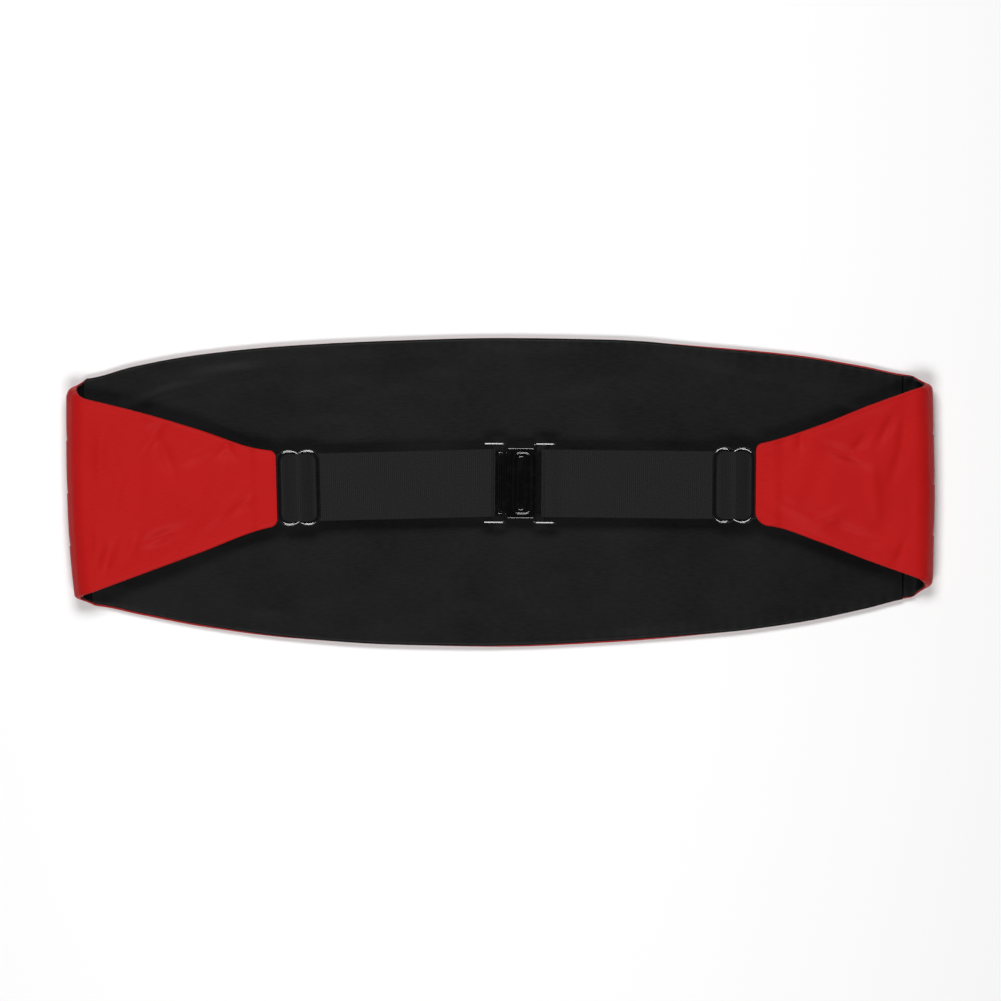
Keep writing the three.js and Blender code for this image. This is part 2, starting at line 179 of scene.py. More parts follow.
def fromTable(rows, columns, column, at, startSlope=None):
    k = columns.index(column)
    i = 0
    while i < len(rows) - 2 and rows[i + 1][0] < at:
        i += 1

    def slope(j):
        return (rows[j + 1][k] - rows[j][k]) / (rows[j + 1][0] - rows[j][0])

    def tangent(j):
        if j == 0:
            return slope(0) if startSlope is None else startSlope
        if j == len(rows) - 1:
            return slope(j - 1)
        a, b = slope(j - 1), slope(j)
        return 0 if a * b <= 0 else 2 * a * b / (a + b)

    width = rows[i + 1][0] - rows[i][0]
    t = min(max((at - rows[i][0]) / width, 0), 1)
    held = (1 + 2 * t) * (1 - t) ** 2 * rows[i][k] + t * t * (3 - 2 * t) * rows[i + 1][k]
    return held + width * (t * (1 - t) ** 2 * tangent(i) + t * t * (t - 1) * tangent(i + 1))


def smoothStep(x, low, high):
    t = min(max((x - low) / (high - low), 0), 1)
    return t * t * (3 - 2 * t)


def spaced(start, end, count):
    return [start + (end - start) * i / count for i in range(count + 1)]


halfPlate = clasp["plateWidth"] / 2
eyeBarX = -(halfPlate + clasp["railLength"]) + clasp["eyeBarInset"]
hookBarX = halfPlate + clasp["railLength"] - clasp["hookBarInset"]
for side, barX in ((left, eyeBarX), (right, hookBarX)):
    bar = Matrix.Rotation(clasp["turn"], 2) @ Vector((barX, 0)) + clasp["place"]
    side["endX"] = sash["length"] / 2 - side["wingLength"]
    side["beltStart"] = Vector((side["sign"] * side["endX"], side["beltY"]))
    way = bar - side["beltStart"]
    side["beltLength"] = way.length
    side["beltAngle"] = math.atan2(way.y, way.x)
    side["slope"] = math.atan(sash["wingDrop"] / (side["wingLength"] - sash["foldRadius"]))
    side["foldStart"] = sash["length"] / 2 - sash["foldRadius"] - sash["clothDepth"]
    side["foldArc"] = (math.pi + side["slope"]) * sash["foldRadius"]
    side["wingRun"] = side["foldStart"] - side["endX"]
    side["seam"] = 1 + math.radians(sash["seamAngle"]) / (math.pi + side["slope"])


def alongOf(side, at):  # millimetres along the cloth from the middle of the front
    spans = (side["foldStart"], side["foldArc"], side["wingRun"])
    return sum(span * min(max(at - i, 0), 1) for i, span in enumerate(spans))


def atOf(side, along):
    spans = (side["foldStart"], side["foldArc"], side["wingRun"])
    at = 0
    for span in spans:
        at += min(max(along / span, 0), 1)
        along -= span
    return at


def edgesAt(side, at):
    half = sash["height"] / 2
    upper = fromTable(side["edges"], edgeColumns, "upper", min(at, 2), 0) * half
    lower = -fromTable(side["edges"], edgeColumns, "lower", min(at, 2), 0) * half
    if at <= 2:
        return lower, upper
    ends, cuts = [], []
    for margin, corner in zip(side["endMargins"], side["endCorners"]):
        rounded = min(max(corner - (3 - at) * side["wingLength"], 0), corner)
        cuts.append(corner - math.sqrt(corner**2 - rounded**2))
        ends.append(belt["width"] / 2 + margin)
    endLower, endUpper = side["beltY"] - ends[0], side["beltY"] + ends[1]
    lowerShare = fromTable(side["wing"], edgeColumns, "lower", at - 2)
    upperShare = fromTable(side["wing"], edgeColumns, "upper", at - 2)
    return (
        endLower + (lower - endLower) * lowerShare + cuts[0],
        endUpper + (upper - endUpper) * upperShare - cuts[1],
    )


# Dents and creases: place and angle (degrees), half length, half width and height in millimetres
dentColumns = ("x", "y", "angle", "long", "wide", "high")
wingDents = [
    (-146, 23, 52, 7, 2.2, -0.8),
    (-140, 15, 112, 8, 2.6, -0.68),
    (-152, 6, 84, 18, 5, -0.5),
    (-128, 15, 30, 6, 2.2, -0.68),
    (-125, 4, 62, 15, 4.4, -0.4),
    (-116, 18, 50, 4, 1.8, -0.68),
    (-113, 17, 120, 4, 1.8, -0.48),
    (-119, 3, 74, 12, 4, 0.24),
    (-143, -19, 22, 8, 2.4, -0.92),
    (-154, -22, 62, 7, 2.4, -0.68),
    (-128, -13, 34, 10, 3.2, -0.36),
    (-165, -28, 64, 8, 2.8, -1.1),
    (-170, -22, 90, 12, 3, 0.6),
    (-109, -6, 34, 7, 2.2, -0.68),
    (-145, 30, -12, 14, 3, 0.6),
    (-118, -9, 35, 12, 3, 0.52),
    (-168, 15, 86, 9, 2.4, 0.64),
    (-160, 2, 76, 9, 2.6, -0.52),
    (162, 27, 58, 7, 2, -0.84),
    (151, 21, 48, 6, 2, -0.72),
    (145, 16, -22, 10, 2.4, -0.84),
    (126, 22, 84, 4, 1.8, -0.68),
    (133, 6, 70, 14, 4.4, -0.4),
    (173, -6, 88, 8, 2.2, -0.72),
    (169, -24, 58, 7, 2.2, -0.92),
    (160, -14, 60, 14, 4.4, -0.45),
    (125, -8, -30, 11, 3, 0.6),
    (146, -17, -18, 11, 2.8, -0.8),
    (170, 27, 80, 10, 3, -1),
    (156, 4, 96, 10, 3, 0.64),
    (138, -11, 30, 9, 2.8, 0.52),
    (166, 12, 72, 8, 2.4, -0.6),
]
liningCreases = [
    (-133, 44, 14, 20, 2.2, 0.3),
    (-122, 50, 6, 16, 1.6, 0.25),
    (-146, 40, 24, 12, 1.8, 0.24),
    (-108, 52, 2, 14, 2, 0.18),
    (-96, -50, -12, 22, 3, 0.17),
    (-40, -56, -4, 26, 2.6, 0.14),
    (30, 57, -3, 30, 3, 0.13),
    (96, 50, -14, 24, 2.6, 0.18),
    (120, -42, 14, 20, 2.4, 0.2),
    (150, 34, -22, 14, 2.2, 0.22),
    (70, -54, 8, 26, 3, 0.15),
    (-60, 55, 4, 26, 3, 0.13),
]


def reliefAt(rows, x, y):
    total = 0
    for row in rows:
        spot = dict(zip(dentColumns, row))
        turn = math.radians(spot["angle"])
        dx, dy = x - spot["x"], y - spot["y"]
        u = (dx * math.cos(turn) + dy * math.sin(turn)) / spot["long"]
        v = (dy * math.cos(turn) - dx * math.sin(turn)) / spot["wide"]
        if abs(u) < 2.5 and abs(v) < 2.5:
            total += spot["high"] * math.exp(-u * u - v * v)
    return total


cornerFull, cornerEases = 1.35, 1.5  # a fold's corners are rounded most between these places along the loop
dentStrength = 1.5  # times the heights in wingDents


def cornerInset(side, at, y, low, high):
    inset = 0
    for radius, toEdge in zip(side["corners"], (y - low, high - y)):
        toEdge = min(max(toEdge, 0), radius)
        inset += radius - math.sqrt(radius**2 - (radius - toEdge) ** 2)
    return inset * smoothStep(at, 1, cornerFull) * (1 - smoothStep(at, cornerEases, 2))


def loopPoint(side, at, y, offset):
    low, high = edgesAt(side, at)
    share = min(max(y / (sash["foldShare"] * sash["height"]) + 0.5, 0), 1)
    lean = fromTable(side["lean"], leanColumns, "inset", share) * sash["foldRadius"]
    foldStart = side["foldStart"] - lean - cornerInset(side, at, y, low, high)
    if at <= 1:
        return Vector((side["sign"] * foldStart * at, y, sash["clothDepth"] - offset))
    turn = (math.pi + side["slope"]) * (min(at, 2) - 1)
    puff = 0
    if at > 2:
        across = min(max((y - low) / (high - low), 0), 1)
        puff = sash["wingCrown"] * math.sin(math.pi * across) * math.sin(math.pi * (at - 2)) ** 2
    reach = sash["foldRadius"] + offset + puff
    x = foldStart + reach * math.sin(turn)
    z = sash["clothDepth"] + sash["foldRadius"] - reach * math.cos(turn)
    if at > 2:
        endX = side["endX"] - (y - side["beltY"]) * math.tan(side["beltAngle"]) * side["sign"]
        run = (foldStart - sash["foldRadius"] * math.sin(side["slope"]) - endX) * (at - 2)
        x -= run
        z -= run * math.tan(side["slope"])
        dents = dentStrength * reliefAt(wingDents, side["sign"] * x, y)
        z += dents * smoothStep(at, 2, 2.1) * smoothStep(3 - at, 0.01, 0.1)
    return Vector((side["sign"] * x, y, z))


def halfGap(side, at):  # half the air between satin and lining, wider where the elastic is sewn in
    toEnd = (3 - at) * side["wingLength"]
    pocket = belt["thick"] + 2 * sash["clothGap"]
    openShare = smoothStep(toEnd, belt["tail"] + sash["clothGap"], belt["tail"] + belt["pocketTaper"])
    return (pocket + (sash["clothGap"] - pocket) * openShare) / 2


def deselectAll():
    if bpy.context.mode != "OBJECT":
        bpy.ops.object.mode_set(mode="OBJECT")
    bpy.ops.object.select_all(action="DESELECT")


def gridSheet(alongs, rows, place):  # place gives a point and a weave coordinate, in millimetres
    columns, count = len(alongs) - 1, len(rows) - 1
    bpy.ops.mesh.primitive_grid_add(x_subdivisions=columns, y_subdivisions=count, size=2)
    cloth = bpy.context.object
    weave = []
    for vertex in cloth.data.vertices:
        column = round((vertex.co.x + 1) / 2 * columns)
        row = round((vertex.co.y + 1) / 2 * count)
        point, thread = place(alongs[column], rows[row])
        vertex.co = point * mm
        weave.append(thread * mm)
    layer = cloth.data.uv_layers.active
    layer.name = "weave"
    for loop in cloth.data.loops:
        layer.data[loop.index].uv = weave[loop.vertex_index]
    return cloth


def zipped(name, outer, inner):  # two sheets that share their borders become one closed piece
    deselectAll()
    inner.select_set(True)
    outer.select_set(True)
    bpy.context.view_layer.objects.active = outer
    bpy.ops.object.join()
    bpy.ops.object.mode_set(mode="EDIT")
    bpy.ops.mesh.select_all(action="SELECT")
    bpy.ops.mesh.remove_doubles(threshold=2e-6)
    bpy.ops.mesh.normals_make_consistent(inside=False)
    bpy.ops.object.mode_set(mode="OBJECT")
    outer.name = name
    bpy.ops.object.shade_smooth()
    return outer


borderSpots = (0, 0.05, 0.16, 0.34, 0.6, 0.95, 1.4, 2.0, 2.9, 4.2)  # rows close to a border
borderRound = 0.85  # over which a cloth's edge is rounded
seamTight = 2.4  # an end that is sewn on is rounded over so much less


def roundOver(reach, radius):  # how full a rounded edge is, so far in from its border
    return math.sqrt(max(1 - (1 - min(reach / radius, 1)) ** 2, 0))


def unevenness(along, y, pitch, layer):  # slow noise over the cloth, with its pitch along and across
    return noise.noise(Vector((along / pitch[0], y / pitch[1], layer)))


def spotsAlong(start, end, step):  # places along the loop, closer together at both ends
    count = max(round((end - start - 2 * borderSpots[-1]) / step), 1)
    middle = spaced(start + borderSpots[-1], end - borderSpots[-1], count)
    near = [start + spot for spot in borderSpots[:-1]]
    return near + middle + [end - spot for spot in reversed(borderSpots[:-1])]


def rowsAcross(count):  # (share of the height, millimetres from there)
    near = [(0, spot) for spot in borderSpots]
    far = [(1, -spot) for spot in reversed(borderSpots)]
    middle = [(share, borderSpots[-1] * (1 - 2 * share)) for share in spaced(0, 1, count)[1:-1]]
    return near + middle + far


def sideOf(along):
    return left if along < 0 else right


def seamAlong(side):
    return alongOf(side, side["seam"])


def clothPanel(name, start, end, step, rowCount, thick, layer, shape):
    # layer is 1 for satin and -1 for lining; shape gives what is added to a point's inset and offset
    alongs = spotsAlong(start, end, step)
    rows = rowsAcross(rowCount)
    cache = {}

    def place(along, row, face):
        side = sideOf(along)
        at = atOf(side, abs(along))
        if along not in cache:
            cache[along] = edgesAt(side, at) + (halfGap(side, at),)
        low, high, gap = cache[along]
        lowInset, highInset = shape["inset"](side, at)
        low, high = low + lowInset, high - highInset
        y = low + (high - low) * row[0] + row[1]
        toEdge = min(y - low, high - y)
        toBorder = max(min(toEdge, (along - start) * seamTight, (end - along) * seamTight), 0)
        offset = layer * (gap + thick / 2) + face * (thick / 2 * roundOver(toBorder, borderRound))
        offset += shape["offset"](side, at, along, y, toEdge, face) * smoothStep(toBorder, 0, borderRound)
        return loopPoint(side, at, y, offset), Vector((along, y))

    outer = gridSheet(alongs, rows, lambda along, row: place(along, row, 1))
    inner = gridSheet(alongs, rows, lambda along, row: place(along, row, -1))
    return zipped(name, outer, inner)


def flatCut(start, end, allowance, steps=60):  # size and area of the flat piece of cloth, in metres
    stops = spaced(start, end, steps)
    heights = []
    for along in stops:
        side = sideOf(along)
        low, high = edgesAt(side, atOf(side, abs(along)))
        heights.append((high - low) * allowance)
    area = sum(heights) / len(heights) * (end - start)
    return ((end - start) * mm, max(heights) * mm), area * mm * mm


def newMaterial(name):
    material = bpy.data.materials.new(name)
    material.use_nodes = True
    shader = material.node_tree.nodes["Principled BSDF"]
    return material, material.node_tree, shader


def addNode(tree, kind, **values):
    node = tree.nodes.new(kind)
    for key, value in values.items():
        if key in node.inputs:
            node.inputs[key].default_value = value
        else:
            setattr(node, key, value)
    return node


def setSockets(node, values):
    for name, value in values.items():
        node.inputs[name].default_value = value


def addRamp(tree, source, *stops):  # each stop is a position and a colour
    ramp = addNode(tree, "ShaderNodeValToRGB")
    for i, (position, colour) in enumerate(stops):
        ramp.color_ramp.elements[i].position = position
        ramp.color_ramp.elements[i].color = (*colour, 1)
    tree.links.new(source, ramp.inputs[0])
    return ramp.outputs[0]


def varyGloss(tree, shader, source, span, roughness, spread):  # span is what the source runs between
    gloss = addNode(tree, "ShaderNodeMapRange")
    setSockets(gloss, {"From Min": span[0], "From Max": span[1]})
    setSockets(gloss, {"To Min": roughness - spread, "To Max": roughness + spread})
    tree.links.new(source, gloss.inputs["Value"])
    tree.links.new(gloss.outputs[0], shader.inputs["Roughness"])


def addBump(tree, shader, source, strength):
    bump = addNode(tree, "ShaderNodeBump", Strength=strength, Distance=0.0001)
    tree.links.new(source, bump.inputs["Height"])
    tree.links.new(bump.outputs[0], shader.inputs["Normal"])


threadInputs = ("Threads", "Slub", "Cross", "Patch")


def makeThreadGroup():
    # Fine threads that run along the cloth, with slubs, and a slow change of tone
    group = bpy.data.node_groups.new("fineThreads", "ShaderNodeTree")
    face = group.interface
    face.new_socket(name="Weave", in_out="INPUT", socket_type="NodeSocketVector")
    for name in threadInputs:
        face.new_socket(name=name, in_out="INPUT", socket_type="NodeSocketFloat")
    for name in ("Height", "Tone"):
        face.new_socket(name=name, in_out="OUTPUT", socket_type="NodeSocketFloat")
    start = addNode(group, "NodeGroupInput")
    end = addNode(group, "NodeGroupOutput")
    split = addNode(group, "ShaderNodeSeparateXYZ")
    group.links.new(start.outputs["Weave"], split.inputs[0])

    def scaled(xScale, yScale):
        join = addNode(group, "ShaderNodeCombineXYZ")
        for axis, scale in (("X", xScale), ("Y", yScale)):
            times = addNode(group, "ShaderNodeMath", operation="MULTIPLY")
            group.links.new(split.outputs[axis], times.inputs[0])
            group.links.new(start.outputs[scale], times.inputs[1])
            group.links.new(times.outputs[0], join.inputs[axis])
        return join

    threads = addNode(group, "ShaderNodeTexNoise", Scale=1.0, Detail=2.0, Roughness=0.6)
    group.links.new(scaled("Slub", "Threads").outputs[0], threads.inputs["Vector"])
    picks = addNode(group, "ShaderNodeTexNoise", Scale=1.0, Detail=1.0, Roughness=0.5)
    group.links.new(scaled("Threads", "Cross").outputs[0], picks.inputs["Vector"])
    patches = addNode(group, "ShaderNodeTexNoise", Scale=1.0, Detail=3.0, Roughness=0.55)
    group.links.new(scaled("Patch", "Patch").outputs[0], patches.inputs["Vector"])
    mix = addNode(group, "ShaderNodeMix", data_type="FLOAT", Factor=0.35)
    group.links.new(threads.outputs[0], mix.inputs[2])
    group.links.new(picks.outputs[0], mix.inputs[3])
    group.links.new(mix.outputs[0], end.inputs["Height"])
    tone = addNode(group, "ShaderNodeMix", data_type="FLOAT", Factor=0.5)
    group.links.new(patches.outputs[0], tone.inputs[2])
    group.links.new(threads.outputs[0], tone.inputs[3])
    group.links.new(tone.outputs[0], end.inputs["Tone"])
    return group


threadGroup = makeThreadGroup()


def clothMaterial(name, look):
    material, tree, shader = newMaterial(name)
    weave = addNode(tree, "ShaderNodeUVMap", uv_map="weave")
    threads = addNode(tree, "ShaderNodeGroup")
    threads.node_tree = threadGroup
    setSockets(threads, {key: look[key] for key in threadInputs})
    tree.links.new(weave.outputs[0], threads.inputs["Weave"])
    tone, toneSpan = threads.outputs["Tone"], (0.3, 0.7)
    colour = addRamp(tree, tone, (toneSpan[0], look["shade"]), (toneSpan[1], look["colour"]))
    tree.links.new(colour, shader.inputs["Base Color"])
    varyGloss(tree, shader, tone, toneSpan, look["roughness"], 0.05)
    addBump(tree, shader, threads.outputs["Height"], look["bump"])
    finish = {
        "Specular IOR Level": look["specular"],
        "Specular Tint": (*look["shine"], 1),
        "IOR": 1.3,
        "Sheen Weight": look["sheen"],
        "Sheen Roughness": 0.45,
        "Sheen Tint": (*look["sheenTint"], 1),
    }
    setSockets(shader, finish)
    return material


satinLook = {
    "colour": (0.42, 0.0095, 0.0095),
    "shade": (0.376, 0.0078, 0.0078),
    "roughness": 0.45,
    "specular": 0.25,
    "shine": (1.0, 0.3, 0.3),
    "sheen": 0.02,
    "sheenTint": (1.0, 0.25, 0.22),
    "bump": 0.3,
    "Threads": 1500.0,
    "Slub": 300.0,
    "Cross": 750.0,
    "Patch": 34.0,
}
liningLook = {
    "colour": (0.0074, 0.0074, 0.0077),
    "shade": (0.0022, 0.0022, 0.0024),
    "roughness": 0.42,
    "specular": 0.22,
    "shine": (1.0, 1.0, 1.0),
    "sheen": 0.015,
    "sheenTint": (0.8, 0.8, 0.85),
    "bump": 0.25,
    "Threads": 1500.0,
    "Slub": 280.0,
    "Cross": 700.0,
    "Patch": 26.0,
}
satinMaterial = clothMaterial("redSatin", satinLook)
liningMaterial = clothMaterial("blackLining", liningLook)


elasticLook = {
    "colour": (0.0165, 0.0155, 0.016),
    "shade": (0.0004, 0.0004, 0.0004),
    "wefts": 380.0,  # scale of the ribs across the band
    "fluff": 1500.0,
    "fluffShare": 0.72,
    "bump": 0.35,
    "finish": {"Roughness": 0.78, "Specular IOR Level": 0.1, "Sheen Weight": 0.05, "Sheen Roughness": 0.5},
}


def makeElasticMaterial(look):
    material, tree, shader = newMaterial("wovenElastic")
    weave = addNode(tree, "ShaderNodeUVMap", uv_map="weave")
    wefts = addNode(tree, "ShaderNodeTexWave", wave_type="BANDS", bands_direction="X", Scale=1.0)
    setSockets(wefts, {"Distortion": 1.2, "Detail": 1.0})
    stretch = addNode(tree, "ShaderNodeMapping", vector_type="POINT")
    stretch.inputs["Scale"].default_value = (look["wefts"], look["wefts"], 1.0)
    tree.links.new(weave.outputs[0], stretch.inputs[0])
    tree.links.new(stretch.outputs[0], wefts.inputs[0])
    fluff = addNode(tree, "ShaderNodeTexNoise", Scale=look["fluff"], Detail=2.0)
    tree.links.new(weave.outputs[0], fluff.inputs["Vector"])
    tone = addNode(tree, "ShaderNodeMix", data_type="FLOAT", Factor=look["fluffShare"])
    tree.links.new(wefts.outputs["Fac"], tone.inputs[2])
    tree.links.new(fluff.outputs[0], tone.inputs[3])
    colour = addRamp(tree, tone.outputs[0], (0, look["shade"]), (0.75, look["colour"]))
    tree.links.new(colour, shader.inputs["Base Color"])
    addBump(tree, shader, tone.outputs[0], look["bump"])
    setSockets(shader, look["finish"])
    return material


metalLook = {
    "colour": (0.0022, 0.0022, 0.0024),
    "worn": (0.006, 0.006, 0.007),
    "roughness": 0.1,
    "peel": 900.0,  # scales of the enamel's orange peel and of its worn specks
    "specks": 260.0,
    "bump": 0.012,
    "finish": {"Specular IOR Level": 0.7, "Coat Weight": 1.0, "Coat Roughness": 0.05, "Coat IOR": 1.65},
}


def makeMetalMaterial(look):
    material, tree, shader = newMaterial("blackEnamel")
    where = addNode(tree, "ShaderNodeTexCoord")
    peel = addNode(tree, "ShaderNodeTexNoise", Scale=look["peel"], Detail=2.0)
    tree.links.new(where.outputs["Object"], peel.inputs["Vector"])
    specks = addNode(tree, "ShaderNodeTexNoise", Scale=look["specks"], Detail=4.0, Roughness=0.65)
    tree.links.new(where.outputs["Object"], specks.inputs["Vector"])
    colour = addRamp(tree, specks.outputs[0], (0.5, look["colour"]), (0.85, look["worn"]))
    tree.links.new(colour, shader.inputs["Base Color"])
    varyGloss(tree, shader, specks.outputs[0], (0, 1), look["roughness"], 0.04)
    addBump(tree, shader, peel.outputs[0], look["bump"])
    setSockets(shader, look["finish"])
    return material


elasticMaterial = makeElasticMaterial(elasticLook)
metalMaterial = makeMetalMaterial(metalLook)
print("materials ready")


def finishPiece(piece, material, slotName, *nodes):
    piece.data.materials.clear()
    piece.data.materials.append(material)
    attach(piece, "root")
    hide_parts(*nodes)
    deselectAll()
    print("made", piece.name, len(piece.data.polygons), "faces")
    return piece


# The red ends that fold over the front, with the raised rim and the groove of their sewn edges
wingLook = {
    "step": 1.1,
    "rows": 52,
    "seamGap": 0.03,
    "rimHigh": 0.26,
    "rimAt": 0.75,
    "rimWide": 0.4,
    "valley": -0.16,
    "valleyAt": 2.0,
    "valleyWide": 1.0,
    "waves": 0.2,
    "wavePitch": (15, 12),
    "ripples": 0.07,
    "ripplePitch": (5, 6),
    "endDrop": -0.33,  # the sewn end is pressed down
    "endRun": 2.6,
}


def wingOffset(side, at, along, y, toEdge, face):
    look = wingLook
    if face < 0:
        return 0
    rim = look["rimHigh"] * math.exp(-(((toEdge - look["rimAt"]) / look["rimWide"]) ** 2))
    valley = look["valley"] * math.exp(-(((toEdge - look["valleyAt"]) / look["valleyWide"]) ** 2))
    waves = look["waves"] * unevenness(along, y, look["wavePitch"], 3)
    waves += look["ripples"] * unevenness(along, y, look["ripplePitch"], 9)
    toEnd = (3 - at) * side["wingLength"]
    drop = look["endDrop"] * max(1 - toEnd / look["endRun"], 0) ** 2
    border = (rim + valley) * smoothStep(at, 1.7, 2.1) * smoothStep(toEnd, 0.5, 3)
    return border + waves * smoothStep(toEnd, 0, 4) + drop


def noInset(side, at):
    return 0, 0


def makeWing(name, side):
    reach = (seamAlong(side) + wingLook["seamGap"], alongOf(side, 3))
    start, end = sorted(side["sign"] * along for along in reach)
    shape = {"inset": noInset, "offset": wingOffset}
    wing = clothPanel(name, start, end, wingLook["step"], wingLook["rows"], sash["satinThick"], 1, shape)
    flat, area = flatCut(start, end, 1)
    return wing


finishPiece(makeWing("leftWingSatin", left), satinMaterial, "satin", "left_wing")
finishPiece(makeWing("rightWingSatin", right), satinMaterial, "satin", "right_wing")


# The black cloth inside the loop, in three panels
liningForm = {
    "step": 1.3,
    "rows": 60,
    "inset": 0.5,
    "pucker": 0.07,  # along the sewn edges
    "puckerPitch": 5.5,
    "puckerRun": 5,
    "waves": 0.55,
    "wavePitch": (40, 15),
    "ripples": 0.12,
    "ripplePitch": (16, 6),
}
# How far the satin shows beyond the front's lining, in millimetres, left and right of the middle
rimShown = {
    -1: [
        (0, -0.12, 0.35),
        (0.3, -0.12, -0.05),
        (0.55, -0.12, 0.35),
        (0.8, -0.12, 0.75),
        (1.1, 0.1, 0.8),
        (2, 0.5, 0.5),
    ],
    1: [
        (0, -0.12, 0.5),
        (0.35, -0.1, 0.6),
        (0.45, 0.3, 0.35),
        (0.6, 0.55, -0.12),
        (0.9, 0.7, -0.12),
        (2, 0.5, 0.5),
    ],
}


def frontLiningInset(side, at):
    return [fromTable(rimShown[side["sign"]], edgeColumns, edge, at) for edge in ("lower", "upper")]


def liningInset(side, at):
    return liningForm["inset"], liningForm["inset"]


def liningOffset(side, at, along, y, toEdge, face):
    form = liningForm
    x = side["sign"] * min(abs(along), side["foldStart"])
    lift = reliefAt(liningCreases, x, y) if at < 1 else 0
    lift += form["waves"] * (0.5 + 0.5 * unevenness(along, y, form["wavePitch"], 7))
    lift += form["ripples"] * unevenness(along, y, form["ripplePitch"], 2)
    nearEdge = math.exp(-((toEdge / form["puckerRun"]) ** 2))
    lift += form["pucker"] * nearEdge * math.sin(2 * math.pi * along / form["puckerPitch"])
    return -max(lift, -0.1) if face < 0 else 0


def makeLining(name, start, end, inset):
    form = liningForm
    start, end = sorted((start, end))
    shape = {"inset": inset, "offset": liningOffset}
    lining = clothPanel(name, start, end, form["step"], form["rows"], sash["liningThick"], -1, shape)
    flat, area = flatCut(start, end, 1)
    return lining


leftSeam, leftEnd = -alongOf(left, left["liningSeam"]), -alongOf(left, 3)
rightSeam, rightEnd = alongOf(right, right["liningSeam"]), alongOf(right, 3)
seamGap = wingLook["seamGap"]
panels = (
    ("frontLining", leftSeam, rightSeam, frontLiningInset, "pleatedFrontSatin", "front_lining"),
    ("leftWingLining", leftSeam - seamGap, leftEnd, liningInset, "frontLining", "left_wing_lining"),
    ("rightWingLining", rightSeam + seamGap, rightEnd, liningInset, "frontLining", "right_wing_lining"),
)
for name, start, end, inset, rests, node in panels:
    finishPiece(makeLining(name, start, end, inset), liningMaterial, "lining", node)


# The pleats face down: each one is a step of the cloth with a tuck under its upper edge
pleat = {
    "step": 1.5,
    "ramp": 0.33,  # share of a pleat's width that rises from under its neighbour
    "tuck": 7.0,  # how far the fold's mouth reaches in
    "foldRound": 0.42,
    "low": 1.22,  # offsets of the cloth from the middle of the sash's wall
    "mouth": 1.5,
    "sway": 0.35,
    "swayRun": 30,  # from the side seams, over which the pleats start to sway
    "seamRun": 3,  # over which their edges straighten
    "thinRun": 3.2,  # over which the front thins to the wings' level
    "pressed": 0.62,  # how much flatter the pleats lie round the folds
    "soft": 0.12,  # how far the cloth sinks between its edges
    "softPitch": (22, 9),
    "cutHeight": 150,  # of the weave's pattern
}


def pleatRows():
    # (share of the height, millimetres from there, offset) from the lower to the upper edge
    top = sash["clothDepth"]
    middle = (top + sash["clothGap"] / 2) / 2
    width = 1 / sash["pleats"]
    tuck, low, mouth = pleat["tuck"], pleat["low"], pleat["mouth"]
    under = ((-tuck, low + 0.06), (-tuck / 2, low + 0.02), (-0.6, low), (0.1, low + 0.01))
    rows = [(0, spot, None) for spot in borderSpots[:7]]
    for i in range(sash["pleats"]):
        start = i * width
        if i > 0:
            rows += [(start, shift, depth) for shift, depth in under]
            for t in spaced(0, 1, 9)[1:]:
                rise = low + (top - low) * (1 - (1 - t) ** 2.2)
                rows.append((start + t * pleat["ramp"] * width, 0, rise))
        for t in spaced(pleat["ramp"] if i > 0 else 0.1, 0.93, 7)[1:]:
            rows.append((start + t * width, 0, top))
        if i < sash["pleats"] - 1:
            stop = start + width
            r = pleat["foldRound"]
            for angle in spaced(0, 180, 7):
                turn = math.radians(angle)
                depth = (top + mouth) / 2 + (top - mouth) / 2 * math.cos(turn)
                rows.append((stop, -r + r * math.sin(turn), depth))
            rows += [(stop, -tuck / 2, mouth - 0.08), (stop, -tuck, low + 0.14)]
    rows += [(1, -spot, None) for spot in reversed(borderSpots[:7])]
    return rows, top, middle


def makePleatedFront():
    rows, top, middle = pleatRows()
    flush = sash["clothGap"] / 2 + sash["satinThick"]  # with the wings at the side seams
    start, end = -seamAlong(left), seamAlong(right)
    alongs = spotsAlong(start, end, pleat["step"])

    def place(along, row, outside, index):
        side = sideOf(along)
        at = atOf(side, abs(along))
        low, high = edgesAt(side, at)
        share, shift, depth = row
        toEnd = min(along - start, end - along)
        inSash = smoothStep(toEnd, 0, pleat["swayRun"])
        if 0 < share < 1:
            shift += pleat["sway"] * inSash * noise.noise(Vector((along / 45, share * 9, 5)))
            shift *= smoothStep(toEnd, 0, pleat["seamRun"])
        y = low + (high - low) * share + shift
        even = low + (high - low) * index / (len(rows) - 1)
        y += (even - y) * (1 - smoothStep(toEnd, 0, 0.6) if outside else 1)
        toBorder = max(min(y - low, high - y, toEnd * seamTight), 0)
        edgeShare = roundOver(toBorder, borderRound)
        bottom = sash["clothGap"] / 2
        if outside:
            full = top if depth is None else depth
            full += (top - full) * pleat["pressed"] * smoothStep(at, 0.9, 1.02)
            full -= (full - flush) * (1 - smoothStep(toEnd, 0.1, pleat["thinRun"]))
            soft = pleat["soft"] * unevenness(along, y, pleat["softPitch"], 11) * inSash
            full -= max(soft, 0) if 0 < share < 1 else 0
            offset = middle + (full - middle) * edgeShare
        else:
            offset = middle + (bottom - middle) * edgeShare
        return loopPoint(side, at, y, offset), Vector((along, share * pleat["cutHeight"] + shift))

    numbered = list(enumerate(rows))
    outer = gridSheet(alongs, numbered, lambda along, row: place(along, row[1], True, row[0]))
    inner = gridSheet(alongs, numbered, lambda along, row: place(along, row[1], False, row[0]))
    front = zipped("pleatedFrontSatin", outer, inner)
    tucks = 2 * pleat["tuck"] * (sash["pleats"] - 1)
    flat, area = flatCut(start, end, 1 + tucks / sash["height"])
    return front


finishPiece(makePleatedFront(), satinMaterial, "satin", "pleated_front")


